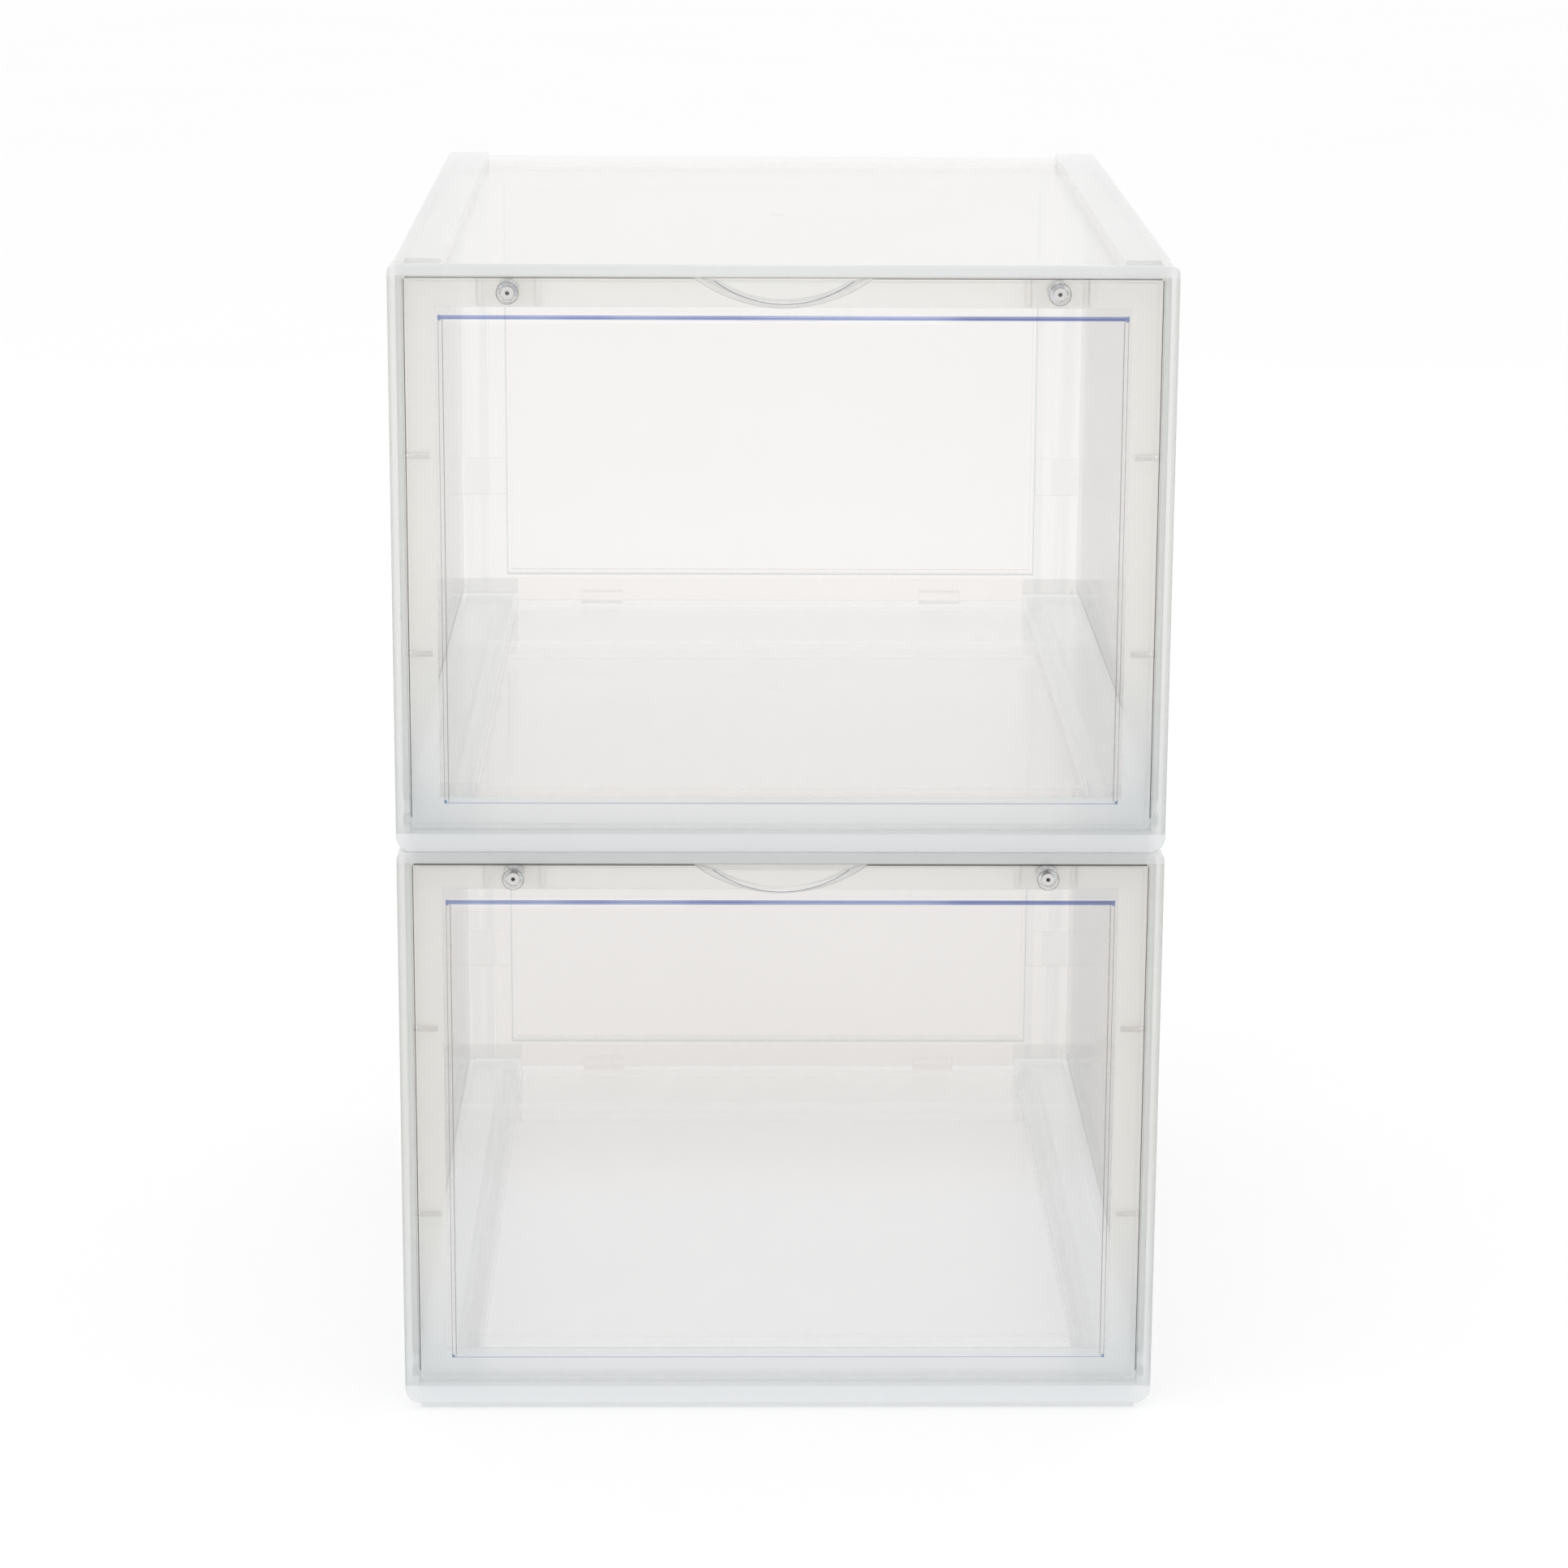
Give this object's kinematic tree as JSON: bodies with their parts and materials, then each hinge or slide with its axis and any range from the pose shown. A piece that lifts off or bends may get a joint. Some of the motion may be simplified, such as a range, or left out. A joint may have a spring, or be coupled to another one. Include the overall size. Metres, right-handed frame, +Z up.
{
  "type": "shoe box",
  "caption": "Stacked drop-front shoe boxes in clear and milky plastic: hinged transparent doors with a finger pull, magnetic catches, nesting plinths.",
  "frame": {"origin": "middle of the stack's underside, centred in width and in overall depth", "axes": "+X to the right seen from the front, +Y to the back (the doors face -Y), +Z up"},
  "size_m": [0.284, 0.368, 0.4375],
  "materials": {
    "milky_frame": "satin",
    "milky_cover": "satin",
    "milky_tray": "satin",
    "clear_door": "gloss",
    "clear_panel": "satin",
    "magnet": "satin",
    "rivet_steel": "satin"
  },
  "bodies": {
    "lower_box": {"lower_front_frame": "milky_frame", "lower_left_side_panel": "clear_panel", "lower_right_side_panel": "clear_panel", "lower_back_panel": "clear_panel", "lower_top_cover": "milky_cover", "lower_base_tray": "milky_tray", "lower_magnets": "magnet", "lower_magnet_caps": "milky_frame"},
    "lower_door": {"lower_door": "clear_door", "lower_finger_pull": "clear_door", "lower_door_rivets": "rivet_steel", "lower_strike_discs": "rivet_steel"},
    "upper_box": {"upper_front_frame": "milky_frame", "upper_left_side_panel": "clear_panel", "upper_right_side_panel": "clear_panel", "upper_back_panel": "clear_panel", "upper_top_cover": "milky_cover", "upper_base_tray": "milky_tray", "upper_magnets": "magnet", "upper_magnet_caps": "milky_frame"},
    "upper_door": {"upper_door": "clear_door", "upper_finger_pull": "clear_door", "upper_door_rivets": "rivet_steel", "upper_strike_discs": "rivet_steel"}
  },
  "joints": [
    {"name": "lower_door_hinge", "type": "hinge", "parent": "lower_box", "child": "lower_door", "pos_m": [0, -0.1728, 0.0143], "axis": [1, 0, 0], "range_deg": [0, 90]},
    {"name": "upper_box_lift", "type": "slide", "parent": "lower_box", "child": "upper_box", "axis": [0, 0, 1], "range_m": [0, 0.06]},
    {"name": "upper_door_hinge", "type": "hinge", "parent": "upper_box", "child": "upper_door", "pos_m": [0, -0.1728, 0.2318], "axis": [1, 0, 0], "range_deg": [0, 90]}
  ]
}
